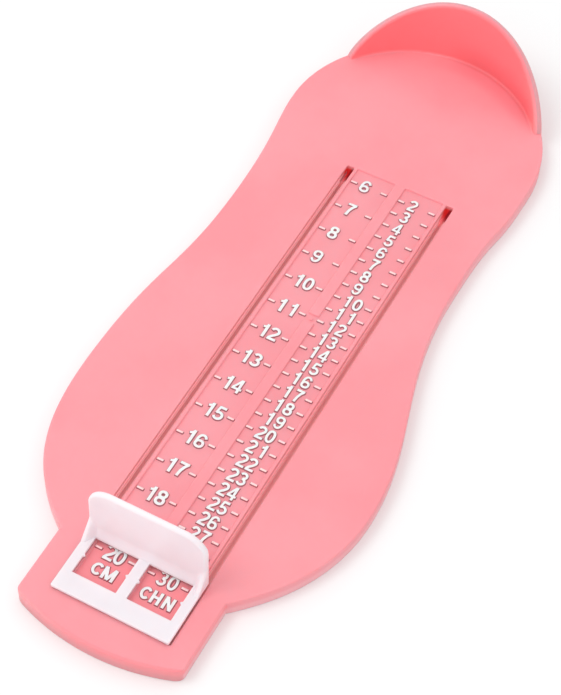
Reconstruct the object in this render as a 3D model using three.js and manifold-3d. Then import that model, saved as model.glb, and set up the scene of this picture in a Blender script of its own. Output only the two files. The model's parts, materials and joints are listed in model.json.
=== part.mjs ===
import * as THREE from 'three';
import { mergeGeometries, mergeVertices } from 'three/addons/utils/BufferGeometryUtils.js';
import Module from 'manifold-3d';

// A child's foot measuring board with a sliding toe stop.
// Lengths are in millimetres. While the pieces are drawn, x = 0 is the centre line of the two scales and
// y = 0 is their zero line, at the inner face of the heel cup, so a mark of m millimetres lies at y = -m.
// The finished group has its origin under the middle of the board, on the surface that it rests on.

// Board
const boardHeight = 5;
const plateThickness = 2;
const skirtThickness = 1.8;
const boardEdgeRadius = 0.5;

// Outline of the board: the foot shape is fuller on its left side
const heelCentre = { x: -5.65, mark: 36.3 };
const heelWallThickness = 2.4;
const heelRadius = heelCentre.mark + heelWallThickness;
const leftWaist = { x: -40.6, mark: 83.6 };
const leftForefoot = { x: -46.1, mark: 148 };
const rightWaist = { x: 30.05, mark: 83.9 };
const rightForefoot = { x: 42.85, mark: 157.4 };
const tabCentreX = -0.4;
const tabHalfWidth = 23.5;
const leftTabLength = 25.2;
const rightTabLength = 25.9;
const tabCornerReach = 1.6;
const tabCornerInset = 2.2;
const toeEndRadius = 62;

// How strongly the outline's smooth curves leave the heel, the waist, the forefoot and the tab
const leftPulls = { heel: 13, waist: 29, forefoot: 32.5, toe: 27, root: { x: -16.5, mark: -11.3 } };
const rightPulls = { heel: 27, waist: 33, forefoot: 26.5, toe: 19.3, root: { x: 10.1, mark: -9.4 } };

// Heel cup: an arch-topped wall on the back edge of the board, which runs out at both ends; its arch would be
// an ellipse with a power of 1 and a parabola with a power of 2
const heelCupHeight = 21;
const heelCupHalfWidth = 32.6;
const heelCupMiddle = 0.4;
const heelArchPower = 1.32;
const heelRimRadius = heelWallThickness / 2;
const heelRootFillet = 1.6;
const heelLeastFillet = 0.05;
const heelFilletShare = 0.6;

// Scales
const firstMark = 60;
const lastMark = 200;
const centimetrePitch = 10;
const sizePitch = 5;
const boardBeyondScale = 24.8;
const fieldBeforeScale = 4.9;
const fieldBeyondScale = 13.5;
const fieldInnerX = 1.6;
const fieldOuterX = 13.7;
const fieldDepth = 0.6;
const tickLength = 1.9;
const tickWidth = 0.6;
const tickHeight = 0.4;
const tickFromFieldEdge = 0.3;
const ribGapStart = 108.9;
const ribGapEnd = 111.6;
const gateNubRadius = 0.55;
const gateNubTopRadius = 0.4;
const gateNubHeight = 0.3;

// Slots that the toe stop's legs run in: a groove with a narrower slot in its floor, and at the heel end
// the whole width is open to let the legs in
const slotInnerX = 14.7;
const slotWidth = 2.3;
const slotLedge = 0.45;
const slotLedgeDepth = 0.6;
const slotEntryLength = 5.6;
const slotBeforeScale = 4.8;
const slotBeyondScale = 16.3;

// Ribs under the board, and the two closed channels that the snap feet run in
const ribThickness = 1.2;
const ribFootClearance = 0.8;
const ribPitch = 26;
const channelWallGap = 0.5;
const channelFloorThickness = 0.8;

// Toe stop slider
const runningGap = 0.25;
const heelTravelGap = 0.3;
const toeTravelGap = 0.7;
const frameThickness = 1;
const frameEndWidth = 5.7;
const windowLength = 11.2;
const windowInnerX = 1.5;
const windowOuterX = 14.05;
const stopThickness = 2.3;
const stopDraft = 0.6;
const stopHeight = 19.4;
const stopCornerRadius = 6.6;
const stopEdgeRadius = 0.8;
const stopRootFillet = 1.1;
const gussetHeight = 6.6;
const gussetPastWindowStart = 2.7;
const pointerFromWindowStart = 5.7;
const pointerReach = 0.6;
const pointerHalfWidth = 0.5;
const readingMargin = 0.5;
const legLength = 5;
const snapReach = 1.6;
const snapThickness = 1.3;
const snapLead = 0.7;

// Marks that follow from the scales: the board's end, the fields, the slots and the slider at rest
const toeEndMark = lastMark + boardBeyondScale;
const leftTabRoot = toeEndMark - leftTabLength;
const rightTabRoot = toeEndMark - rightTabLength;
const fieldStartMark = firstMark - fieldBeforeScale;
const fieldEndMark = lastMark + fieldBeyondScale;
const slotStartMark = firstMark - slotBeforeScale;
const slotEndMark = lastMark + slotBeyondScale;
const frameEndMark = slotEndMark - toeTravelGap;
const windowEndMark = frameEndMark - frameEndWidth;
const windowStartMark = windowEndMark - windowLength;
const stopFaceMark = windowStartMark - stopRootFillet - stopThickness;
const gussetEndMark = windowStartMark + gussetPastWindowStart;
const pointerMark = windowStartMark + pointerFromWindowStart;

// Widths and heights that follow from the sizes above
const slotOuterX = slotInnerX + slotWidth;
const plateUnderside = boardHeight - plateThickness;
const fieldFloor = boardHeight - fieldDepth;
const frameUnderside = boardHeight + runningGap;
const frameTop = frameUnderside + frameThickness;
const frameHalfWidth = slotOuterX - runningGap;
const stopMiddle = stopThickness / 2;
const stopTop = boardHeight + stopHeight;
const legThickness = slotWidth - 2 * slotLedge - 2 * runningGap;
const legOuterX = slotOuterX - slotLedge - runningGap;
const snapTop = plateUnderside - runningGap;
const snapBottom = snapTop - snapThickness;
const channelInnerX = slotInnerX - ribThickness;
const channelWallX = legOuterX + snapReach + channelWallGap;
const channelOuterX = channelWallX + ribThickness;
const channelFloor = snapBottom - runningGap;
const legStartMark = slotStartMark + heelTravelGap + pointerMark - firstMark + readingMargin;

// How finely the curved lines are divided
const cupSteps = 32;
const cornerSteps = 6;
const edgeSteps = 3;
const longCurveSteps = 9;

// How deep joined bodies reach into each other, and how near two corners count as one
const overlap = 0.5;
const cornerTolerance = 1e-5;

const wasm = await Module();
wasm.setup();

// Solids

function solidFrom(geometry) {
  const bare = geometry.clone();
  bare.deleteAttribute('normal');
  bare.deleteAttribute('uv');
  const merged = mergeVertices(bare, cornerTolerance);
  return new wasm.Manifold(new wasm.Mesh({
    numProp: 3,
    vertProperties: Float32Array.from(merged.attributes.position.array),
    triVerts: Uint32Array.from(merged.index.array),
  }));
}

function geometryFrom(solid) {
  const mesh = solid.getMesh();
  const geometry = new THREE.BufferGeometry();
  geometry.setAttribute('position', new THREE.BufferAttribute(mesh.vertProperties, 3));
  geometry.setIndex(new THREE.BufferAttribute(mesh.triVerts, 1));
  geometry.computeVertexNormals();
  return geometry;
}

// A box between two x values, two marks and two heights
function blockGeometry(xFrom, xTo, markFrom, markTo, zFrom, zTo) {
  const block = new THREE.BoxGeometry(xTo - xFrom, markTo - markFrom, zTo - zFrom);
  block.translate((xFrom + xTo) / 2, -(markFrom + markTo) / 2, (zFrom + zTo) / 2);
  return block;
}

function blockSolid(...limits) {
  return solidFrom(blockGeometry(...limits));
}

// The same block on the left and on the right of the centre line
function blockPair(xFrom, xTo, ...limits) {
  return blockSolid(xFrom, xTo, ...limits).add(blockSolid(-xTo, -xFrom, ...limits));
}

// A closed body through rings of equally many points, each ring counter-clockwise about the way it goes on,
// with the triangles that close its first and its last ring
function solidThroughRings(rings, [firstCap, lastCap]) {
  const count = rings[0].length;
  const positions = rings.flat().flatMap((point) => [point.x, point.y, point.z]);
  const faces = [];
  for (let level = 0; level + 1 < rings.length; level += 1) {
    for (let step = 0; step < count; step += 1) {
      const near = level * count + step;
      const next = level * count + ((step + 1) % count);
      faces.push(near, next, next + count);
      faces.push(near, next + count, near + count);
    }
  }
  const lastRing = (rings.length - 1) * count;
  firstCap.forEach(([a, b, c]) => faces.push(c, b, a));
  lastCap.forEach(([a, b, c]) => faces.push(lastRing + a, lastRing + b, lastRing + c));
  const geometry = new THREE.BufferGeometry();
  geometry.setAttribute('position', new THREE.Float32BufferAttribute(positions, 3));
  geometry.setIndex(faces);
  return solidFrom(geometry);
}

// A stack of flat outlines, lowest first
function stackedSolid(layers) {
  const rings = layers.map(({ outline, z }) => outline.map(({ x, y }) => new THREE.Vector3(x, y, z)));
  const endOutlines = [layers[0].outline, layers[layers.length - 1].outline];
  const caps = endOutlines.map((outline) => THREE.ShapeUtils.triangulateShape(outline, []));
  return solidThroughRings(rings, caps);
}

// Outline of the board

// A point on the heel's arc, seen from its centre: angle 0 is straight back, positive to the right
function heelPoint(angle, radius = heelRadius) {
  const x = heelCentre.x + radius * Math.sin(angle);
  const y = -heelCentre.mark + radius * Math.cos(angle);
  return new THREE.Vector2(x, y);
}

// The heel cup's top is an arch as seen from behind: each station has its place on the heel and its height
function heelCupStations() {
  const stations = [];
  for (let step = 0; step <= cupSteps; step += 1) {
    const turn = (Math.PI / 2) * (1 - (2 * step) / cupSteps);
    const angle = Math.asin((heelCupMiddle + heelCupHalfWidth * Math.sin(turn)) / heelRadius);
    stations.push({ angle, height: heelCupHeight * Math.cos(turn) ** heelArchPower });
  }
  return stations;
}

function heelArcPoints(fromAngle, toAngle, steps) {
  const turn = (toAngle - fromAngle) / steps;
  return Array.from({ length: steps }, (_, step) => heelPoint(fromAngle + turn * step));
}

// A smooth bend between two points; each pull is the direction and strength with which the line leaves them
function bendPoints(start, startPull, end, endPull, steps) {
  const from = new THREE.Vector2(start.x, -start.mark);
  const to = new THREE.Vector2(end.x, -end.mark);
  const curve = new THREE.CubicBezierCurve(
    from,
    new THREE.Vector2(from.x + startPull.x, from.y - startPull.mark),
    new THREE.Vector2(to.x + endPull.x, to.y - endPull.mark),
    to,
  );
  return curve.getPoints(steps).slice(0, -1);
}

// One side from the heel to the tab: sign is -1 for the left side and 1 for the right side
function sidePoints(sign, waist, forefoot, tabRootMark, pulls) {
  const heel = { x: heelCentre.x + sign * heelRadius, mark: heelCentre.mark };
  const tabRoot = { x: tabCentreX + sign * tabHalfWidth, mark: tabRootMark };
  const along = (mark) => ({ x: 0, mark });
  return [
    ...bendPoints(heel, along(pulls.heel), waist, along(-pulls.waist), longCurveSteps),
    ...bendPoints(waist, along(pulls.waist), forefoot, along(-pulls.forefoot), longCurveSteps),
    ...bendPoints(forefoot, along(pulls.toe), tabRoot, pulls.root, longCurveSteps),
    new THREE.Vector2(tabRoot.x, -tabRoot.mark),
  ];
}

// Half of the tab's end: down one edge, round the corner and along the arc to the middle
function tabEndPoints(sign) {
  const edgeX = sign * tabHalfWidth;
  const arcStartX = edgeX - sign * tabCornerInset;
  const arcMark = (x) => toeEndMark - toeEndRadius + Math.sqrt(toeEndRadius ** 2 - x ** 2);
  const corner = new THREE.QuadraticBezierCurve(
    new THREE.Vector2(tabCentreX + edgeX, tabCornerReach - arcMark(edgeX)),
    new THREE.Vector2(tabCentreX + edgeX, -arcMark(edgeX)),
    new THREE.Vector2(tabCentreX + arcStartX, -arcMark(arcStartX)),
  );
  const points = corner.getPoints(cornerSteps);
  for (let step = 1; step < cornerSteps; step += 1) {
    const x = arcStartX * (1 - step / cornerSteps);
    points.push(new THREE.Vector2(tabCentreX + x, -arcMark(x)));
  }
  return points;
}

// Counter-clockwise from the right of the heel, over the back and round by the toes
function boardOutlinePoints(stations) {
  const quarter = Math.PI / 2;
  const cupEnd = stations[0].angle;
  return [
    ...heelArcPoints(quarter, cupEnd, cornerSteps),
    ...stations.slice(0, -1).map(({ angle }) => heelPoint(angle)),
    ...heelArcPoints(-cupEnd, -quarter, cornerSteps),
    ...sidePoints(-1, leftWaist, leftForefoot, leftTabRoot, leftPulls),
    ...tabEndPoints(-1),
    new THREE.Vector2(tabCentreX, -toeEndMark),
    ...tabEndPoints(1).reverse(),
    ...sidePoints(1, rightWaist, rightForefoot, rightTabRoot, rightPulls).reverse().slice(0, -1),
  ];
}

// The outline moved inwards by the same distance everywhere
function insetOutline(outline, distance) {
  return outline.map((point, index) => {
    const before = outline[(index + outline.length - 1) % outline.length];
    const after = outline[(index + 1) % outline.length];
    const arriving = point.clone().sub(before).normalize();
    const leaving = after.clone().sub(point).normalize();
    const inward = new THREE.Vector2(-arriving.y - leaving.y, arriving.x + leaving.x);
    const miter = (2 * distance) / inward.lengthSq();
    return point.clone().addScaledVector(inward, miter);
  });
}

// What lies inside the outline at a distance from it, between two heights
function innerSolid(outline, distance, zFrom, zTo) {
  const whole = new wasm.CrossSection([outline.map(({ x, y }) => [x, y])]);
  return whole.offset(-distance, 'Miter').extrude(zTo - zFrom).translate([0, 0, zFrom]);
}

// Board

function boardShell(outline) {
  const layers = [{ outline, z: 0 }];
  for (let step = 0; step <= edgeSteps; step += 1) {
    const turn = (step / edgeSteps) * (Math.PI / 2);
    const inset = boardEdgeRadius * (1 - Math.cos(turn));
    const z = boardHeight - boardEdgeRadius * (1 - Math.sin(turn));
    layers.push({ outline: step === 0 ? outline : insetOutline(outline, inset), z });
  }
  return stackedSolid(layers).subtract(innerSolid(outline, skirtThickness, -overlap, plateUnderside));
}

// Section of the heel cup's wall, from its inner foot over the rim to its outer foot: depth goes inwards from
// the outer face and up is the height over the rest. Where the wall is low, its fillet gets smaller and at
// last the rim sinks into the board.
function cupSection(height) {
  const rim = boardHeight + height - heelRimRadius;
  const base = plateUnderside + overlap;
  const room = heelFilletShare * (height - heelRimRadius);
  const fillet = THREE.MathUtils.clamp(room, heelLeastFillet, heelRootFillet);
  const foot = Math.min(boardHeight, rim - fillet - heelLeastFillet);
  const section = [{ depth: heelWallThickness + fillet, up: base }];
  for (let step = 0; step <= edgeSteps; step += 1) {
    const turn = (step / edgeSteps) * (Math.PI / 2);
    const depth = heelWallThickness + fillet * (1 - Math.sin(turn));
    section.push({ depth, up: foot + fillet * (1 - Math.cos(turn)) });
  }
  for (let step = 0; step <= cornerSteps; step += 1) {
    const turn = (step / cornerSteps) * Math.PI;
    const depth = heelRimRadius * (1 + Math.cos(turn));
    section.push({ depth, up: rim + heelRimRadius * Math.sin(turn) });
  }
  section.push({ depth: 0, up: base });
  return section;
}

// The heel cup is its wall's section carried round the heel, with the rim following the arch
function heelCup(stations) {
  const rings = stations.map(({ angle, height }) => cupSection(height).map(({ depth, up }) => {
    const place = heelPoint(angle, heelRadius - depth);
    return new THREE.Vector3(place.x, place.y, up);
  }));
  const endCaps = [stations[0], stations[stations.length - 1]].map(({ height }) => {
    const flat = cupSection(height).map(({ depth, up }) => new THREE.Vector2(depth, up));
    return THREE.ShapeUtils.triangulateShape(flat, []);
  });
  return solidThroughRings(rings, endCaps);
}

// One row of ticks for each mark, at both edges of its scale
function tickSolids() {
  const half = tickWidth / 2;
  const inner = fieldInnerX + tickFromFieldEdge;
  const outer = fieldOuterX - tickFromFieldEdge - tickLength;
  const heights = [fieldFloor - overlap, fieldFloor + tickHeight];
  const ticks = [];
  const addRow = (mark, sign) => [inner, outer].forEach((start) => {
    const ends = [sign * start, sign * (start + tickLength)].sort((a, b) => a - b);
    ticks.push(blockGeometry(...ends, mark - half, mark + half, ...heights));
  });
  for (let mark = firstMark; mark <= lastMark; mark += centimetrePitch) {
    addRow(mark, -1);
  }
  for (let mark = firstMark; mark <= lastMark; mark += sizePitch) {
    addRow(mark, 1);
  }
  return solidFrom(mergeGeometries(ticks));
}

// The small moulding point in the gap of the rib between the two fields
function gateNub() {
  const height = gateNubHeight + overlap;
  const nub = new THREE.CylinderGeometry(gateNubTopRadius, gateNubRadius, height, 2 * cornerSteps);
  nub.rotateX(Math.PI / 2);
  nub.translate(0, -(ribGapStart + ribGapEnd) / 2, fieldFloor + (gateNubHeight - overlap) / 2);
  return solidFrom(nub);
}

// The slots as they are cut out of the plate
function slotCuts() {
  const top = boardHeight + overlap;
  const groove = [slotInnerX, slotOuterX, slotStartMark, slotEndMark, boardHeight - slotLedgeDepth, top];
  const low = plateUnderside - overlap;
  const narrow = [slotInnerX + slotLedge, slotOuterX - slotLedge, slotStartMark, slotEndMark, low, top];
  const entry = [slotInnerX, slotOuterX, slotStartMark, slotStartMark + slotEntryLength, low, top];
  return blockPair(...groove).add(blockPair(...narrow)).add(blockPair(...entry));
}

// The two channels under the slots, each with two walls and a floor
function channels(startMark, endMark) {
  const bottom = channelFloor - channelFloorThickness;
  const high = plateUnderside + overlap;
  const outside = blockPair(channelInnerX, channelOuterX, startMark, endMark, bottom, high);
  const inside = [slotInnerX, channelWallX, slotStartMark, slotEndMark, channelFloor, plateUnderside];
  return outside.subtract(blockPair(...inside));
}

// Cross ribs, the channels and a rib down the middle
function underRibs(outline) {
  const low = ribFootClearance;
  const high = plateUnderside + overlap;
  const reach = toeEndMark;
  const channelStart = slotStartMark - ribThickness;
  const channelEnd = slotEndMark + ribThickness;
  const innerEnd = channelInnerX + overlap;
  let ribs = blockSolid(-ribThickness / 2, ribThickness / 2, -reach, reach, low, high);
  for (const mark of [channelStart - ribThickness, channelEnd]) {
    ribs = ribs.add(blockSolid(-reach, reach, mark, mark + ribThickness + overlap, low, high));
  }
  for (let mark = channelStart + ribPitch; mark < channelEnd - ribPitch / 2; mark += ribPitch) {
    ribs = ribs.add(blockPair(channelOuterX - overlap, reach, mark, mark + ribThickness, low, high));
    ribs = ribs.add(blockSolid(-innerEnd, innerEnd, mark, mark + ribThickness, low, high));
  }
  const inside = innerSolid(outline, skirtThickness / 2, low, high);
  return ribs.intersect(inside).add(channels(channelStart, channelEnd));
}

function baseSolid(outline, stations) {
  const top = boardHeight + overlap;
  const fields = blockPair(fieldInnerX, fieldOuterX, fieldStartMark, fieldEndMark, fieldFloor, top);
  const gapEndX = fieldInnerX + overlap;
  const ribGap = blockSolid(-gapEndX, gapEndX, ribGapStart, ribGapEnd, fieldFloor, top);
  return boardShell(outline)
    .add(heelCup(stations))
    .subtract(fields)
    .subtract(ribGap)
    .add(tickSolids())
    .add(gateNub())
    .add(underRibs(outline))
    .subtract(slotCuts());
}

// Toe stop slider

// How deep the stop is from its front to its rear face: it gets thinner towards its top
function stopDepth(z) {
  return stopThickness - (stopDraft * (z - frameTop)) / (stopTop - frameTop);
}

// The toe stop: an upright plate with rounded edges and rounded upper corners
function stopSolid() {
  const cornerX = frameHalfWidth - stopCornerRadius;
  const cornerZ = stopTop - stopCornerRadius;
  const sideX = frameHalfWidth - stopEdgeRadius;
  const flatRadius = stopCornerRadius - stopEdgeRadius;
  const front = new THREE.Shape();
  front.moveTo(-sideX, frameUnderside);
  front.lineTo(sideX, frameUnderside);
  front.absarc(cornerX, cornerZ, flatRadius, 0, Math.PI / 2, false);
  front.absarc(-cornerX, cornerZ, flatRadius, Math.PI / 2, Math.PI, false);
  const plate = new THREE.ExtrudeGeometry(front, {
    depth: stopThickness - 2 * stopEdgeRadius,
    bevelSize: stopEdgeRadius,
    bevelThickness: stopEdgeRadius,
    bevelSegments: edgeSteps,
    curveSegments: cornerSteps,
  });
  const corners = plate.attributes.position;
  for (let index = 0; index < corners.count; index += 1) {
    const z = corners.getY(index);
    const depth = (corners.getZ(index) + stopEdgeRadius) * (stopDepth(z) / stopThickness);
    corners.setXYZ(index, corners.getX(index), -stopFaceMark - depth, z);
  }
  const marks = [stopFaceMark - overlap, windowStartMark];
  const room = blockSolid(-frameHalfWidth, frameHalfWidth, ...marks, frameUnderside, stopTop);
  return solidFrom(plate).intersect(room);
}

// A body whose outline is drawn across the scales and which reaches from one mark to another
function acrossSolid(shape, markFrom, markTo) {
  const body = new THREE.ExtrudeGeometry(shape, { depth: markTo - markFrom, bevelEnabled: false });
  body.rotateX(Math.PI / 2);
  body.translate(0, -markFrom, 0);
  return solidFrom(body);
}

// A body drawn as seen from the side, x being the distance behind the stop's face and y the height
function alongSolid(shape, xFrom, xTo) {
  const settings = { depth: xTo - xFrom, bevelEnabled: false, curveSegments: edgeSteps };
  const body = new THREE.ExtrudeGeometry(shape, settings);
  body.rotateX(Math.PI / 2);
  body.rotateZ(-Math.PI / 2);
  body.translate(xTo, -stopFaceMark, 0);
  return solidFrom(body);
}

// The frame from the side, with the fillet at the foot of the stop
function frameSide() {
  const end = frameEndMark - stopFaceMark;
  const filletEnd = windowStartMark - stopFaceMark;
  const filletTop = frameTop + stopRootFillet;
  const side = new THREE.Shape();
  side.moveTo(stopMiddle, frameUnderside);
  side.lineTo(end, frameUnderside);
  side.lineTo(end, frameTop);
  side.lineTo(filletEnd, frameTop);
  side.quadraticCurveTo(stopThickness, frameTop, stopDepth(filletTop), filletTop);
  side.lineTo(stopMiddle, filletTop);
  return side;
}

// The gussets that brace the stop on both side rails of the frame
function gussetSolids() {
  const side = new THREE.Shape();
  side.moveTo(stopMiddle, frameUnderside);
  side.lineTo(gussetEndMark - stopFaceMark, frameUnderside);
  side.lineTo(gussetEndMark - stopFaceMark, frameTop);
  side.lineTo(stopMiddle, boardHeight + gussetHeight);
  const right = alongSolid(side, windowOuterX, frameHalfWidth);
  return right.add(alongSolid(side, -frameHalfWidth, -windowOuterX));
}

// A small pointer at each side of both windows, at the place where the scales are read
function pointerSolids() {
  const edges = [windowInnerX, windowOuterX];
  const nubs = [-1, 1].flatMap((sign) => edges.map((edge, index) => {
    const inward = sign * (index === 0 ? pointerReach : -pointerReach);
    const root = sign * edge - Math.sign(inward) * overlap;
    const nub = new THREE.Shape();
    nub.moveTo(root, -pointerMark - pointerHalfWidth);
    nub.lineTo(sign * edge, -pointerMark - pointerHalfWidth);
    nub.lineTo(sign * edge + inward, -pointerMark);
    nub.lineTo(sign * edge, -pointerMark + pointerHalfWidth);
    nub.lineTo(root, -pointerMark + pointerHalfWidth);
    const solid = new THREE.ExtrudeGeometry(nub, { depth: frameThickness, bevelEnabled: false });
    solid.translate(0, 0, frameUnderside);
    return solid;
  }));
  return solidFrom(mergeGeometries(nubs));
}

// One leg seen from the front: it drops through the slot and catches under the plate with a sloped snap foot
function legShape(sign) {
  const innerX = legOuterX - legThickness;
  const tipX = legOuterX + snapReach;
  const leg = new THREE.Shape();
  leg.moveTo(sign * innerX, snapBottom);
  leg.lineTo(sign * (tipX - snapLead), snapBottom);
  leg.lineTo(sign * tipX, snapBottom + snapLead);
  leg.lineTo(sign * tipX, snapTop);
  leg.lineTo(sign * legOuterX, snapTop);
  leg.lineTo(sign * legOuterX, frameUnderside + frameThickness / 2);
  leg.lineTo(sign * innerX, frameUnderside + frameThickness / 2);
  return leg;
}

function legSolids() {
  const starts = [legStartMark, frameEndMark - legLength];
  const pair = (mark) => [-1, 1].map((sign) => acrossSolid(legShape(sign), mark, mark + legLength));
  return starts.flatMap(pair).reduce((joined, leg) => joined.add(leg));
}

function sliderSolid() {
  const marks = [windowStartMark, windowEndMark];
  const windows = blockPair(windowInnerX, windowOuterX, ...marks, frameUnderside - overlap, stopTop);
  return alongSolid(frameSide(), -frameHalfWidth, frameHalfWidth)
    .subtract(windows)
    .add(stopSolid())
    .add(gussetSolids())
    .add(pointerSolids())
    .add(legSolids());
}

// Assembly

const cupStations = heelCupStations();
const boardOutline = boardOutlinePoints(cupStations);
const boardMiddle = new THREE.Box2().setFromPoints(boardOutline).getCenter(new THREE.Vector2());

const basePlastic = new THREE.MeshStandardMaterial({ color: 0xffa2aa, roughness: 0.42, metalness: 0 });
const sliderPlastic = new THREE.MeshStandardMaterial({ color: 0xf8f3fa, roughness: 0.38, metalness: 0 });

function namedPiece(name, solid, material) {
  const piece = new THREE.Mesh(geometryFrom(solid), material);
  piece.name = name;
  piece.position.set(-boardMiddle.x, -boardMiddle.y, 0);
  return piece;
}

const group = new THREE.Group();
group.add(namedPiece('base', baseSolid(boardOutline, cupStations), basePlastic));
group.add(namedPiece('slider', sliderSolid(), sliderPlastic));

export default group;
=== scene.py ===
import json
import math

import bmesh
import bpy
from mathutils import Matrix, Vector
from mathutils.geometry import delaunay_2d_cdt, interpolate_bezier

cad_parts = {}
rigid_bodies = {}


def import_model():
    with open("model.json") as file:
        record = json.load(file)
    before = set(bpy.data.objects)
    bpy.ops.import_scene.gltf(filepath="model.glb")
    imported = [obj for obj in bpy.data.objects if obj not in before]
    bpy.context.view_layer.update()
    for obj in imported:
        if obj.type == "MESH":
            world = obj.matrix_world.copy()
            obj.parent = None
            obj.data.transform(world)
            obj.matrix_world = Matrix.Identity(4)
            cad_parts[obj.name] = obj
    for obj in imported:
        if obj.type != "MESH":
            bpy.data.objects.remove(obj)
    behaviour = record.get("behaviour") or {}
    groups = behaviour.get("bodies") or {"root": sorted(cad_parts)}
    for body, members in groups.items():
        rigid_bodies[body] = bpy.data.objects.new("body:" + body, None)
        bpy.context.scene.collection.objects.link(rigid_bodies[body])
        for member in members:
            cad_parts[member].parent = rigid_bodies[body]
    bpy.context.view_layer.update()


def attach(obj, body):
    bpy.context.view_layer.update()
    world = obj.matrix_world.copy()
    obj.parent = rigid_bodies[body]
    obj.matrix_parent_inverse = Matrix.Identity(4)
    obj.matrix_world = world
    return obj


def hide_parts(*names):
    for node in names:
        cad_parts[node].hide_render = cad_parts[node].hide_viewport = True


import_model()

# A child's foot measuring board. Sizes are in millimetres where nothing else is said. x = 0 is the centre line
# of the two scales and y = 0 their zero line at the heel, so the mark of m millimetres lies at y = -m.
millimetre = 0.001
scaleOrigin = Vector((1.625, 111.2, 0.0))  # where that point lies in the frame
quarter = math.pi / 2
touching = 1e-7  # within which two points are one
tiny = 1e-6  # small enough to count as nothing
overlap = 0.5  # how far the bodies of one moulding reach into each other
bevelShare = 0.3  # place of the middle ring of a small round, as a share of its radius


# Flat outlines, all counter-clockwise

def shifted(before, corner, after, distance, mostStretch=math.inf):
    # where a corner lies once both its sides have moved inwards by the distance
    arriving, leaving = (corner - before).normalized(), (after - corner).normalized()
    inward = Vector((-arriving.y - leaving.y, arriving.x + leaving.x))
    return corner + inward * (min(2 / max(inward.length_squared, tiny), mostStretch) * distance)


def offsetRing(outline, distance):
    # moved inwards by the distance, or outwards where it is negative
    corners = zip(outline[-1:] + outline[:-1], outline, outline[1:] + outline[:1])
    return [shifted(*corner, distance) for corner in corners]


def gapBetween(point, outline):
    # how far the point is from the nearest place on the outline
    gap = math.inf
    for index, end in enumerate(outline):
        start = outline[index - 1]
        along = end - start
        share = min(max((point - start).dot(along) / along.length_squared, 0.0), 1.0)
        gap = min(gap, (point - start - along * share).length)
    return gap


def insideLine(outline, distance, slack=0.999):
    # moved inwards like offsetRing, but without the loops that tight corners make
    return [point for point in offsetRing(outline, distance) if gapBetween(point, outline) > slack * distance]


def roundCorners(corners, radii, steps=4):
    # one radius for all corners, or one for each
    corners = [Vector(corner) for corner in corners]
    rounded = []
    for index, corner in enumerate(corners):
        radius = radii[index] if isinstance(radii, list) else radii
        toBefore = (corners[index - 1] - corner).normalized()
        toAfter = (corners[(index + 1) % len(corners)] - corner).normalized()
        opening = toBefore.angle(toAfter)
        cut = radius / math.tan(opening / 2)
        pull = cut - radius * 4 / 3 * math.tan((math.pi - opening) / 4)
        start, end = corner + toBefore * cut, corner + toAfter * cut
        rounded += interpolate_bezier(start, corner + toBefore * pull, corner + toAfter * pull, end, steps + 1)
    return [point.to_2d() for point in rounded]


def rectangle(left, right, low, high):
    return [Vector(corner) for corner in ((left, low), (right, low), (right, high), (left, high))]


def mirrored(outline):
    return [(-x, y) for x, y in reversed(outline)]


# Meshes

def addToScene(name, data):
    thing = bpy.data.objects.new(name, data)
    bpy.context.scene.collection.objects.link(thing)
    return thing


def editMesh(mesh, change):
    work = bmesh.new()
    work.from_mesh(mesh)
    change(work)
    work.to_mesh(mesh)
    work.free()


class Shell:
    # gathers rings of points and the faces between them, for one closed mesh

    def __init__(self):
        self.points = []
        self.faces = []

    def row(self, points):
        first = len(self.points)
        self.points += points
        return list(range(first, len(self.points)))

    def ring(self, outline, height):
        return self.row([Vector((point.x, point.y, height)) for point in outline])

    def bands(self, rings):
        for near, far in zip(rings, rings[1:]):
            for index in range(len(near)):
                self.faces.append((near[index - 1], near[index], far[index], far[index - 1]))

    def loft(self, rings):
        self.bands(rings)
        self.faces += [rings[0], rings[-1]]

    def flat(self, outer, holes=()):
        rings = [outer, *holes]
        known = [index for ring in rings for index in ring]
        starts = [sum(len(ring) for ring in rings[:count]) for count in range(len(rings))]
        loops = [list(range(start, start + len(ring))) for start, ring in zip(starts, rings)]
        corners = [self.points[index].to_2d() for index in known]
        result = delaunay_2d_cdt(corners, [], loops, 1, touching, True)
        for triangle, inside in zip(result[2], result[5]):
            if inside == [0]:
                self.faces.append([known[result[3][corner][0]] for corner in triangle])

    def mesh(self, name):
        def close(work):
            bmesh.ops.remove_doubles(work, verts=work.verts, dist=touching)
            bmesh.ops.recalc_face_normals(work, faces=work.faces)

        mesh = bpy.data.meshes.new(name)
        mesh.from_pydata([(point + scaleOrigin) * millimetre for point in self.points], [], self.faces)
        editMesh(mesh, close)
        return mesh


def boxShell(left, right, low, high, bottom, top):
    shell = Shell()
    outline = rectangle(left, right, low, high)
    shell.loft([shell.ring(outline, bottom), shell.ring(outline, top)])
    return shell


def smoothPiece(piece, material, creaseAngle):
    def shade(work):
        for edge in work.edges:
            edge.smooth = edge.calc_face_angle(0) < math.radians(creaseAngle)
        for face in work.faces:
            face.smooth = True

    editMesh(piece.data, shade)
    piece.data.materials.clear()
    piece.data.materials.append(material)
    weighted = piece.modifiers.new("flat faces lead", "WEIGHTED_NORMAL")
    weighted.keep_sharp = True
    return piece


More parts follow.
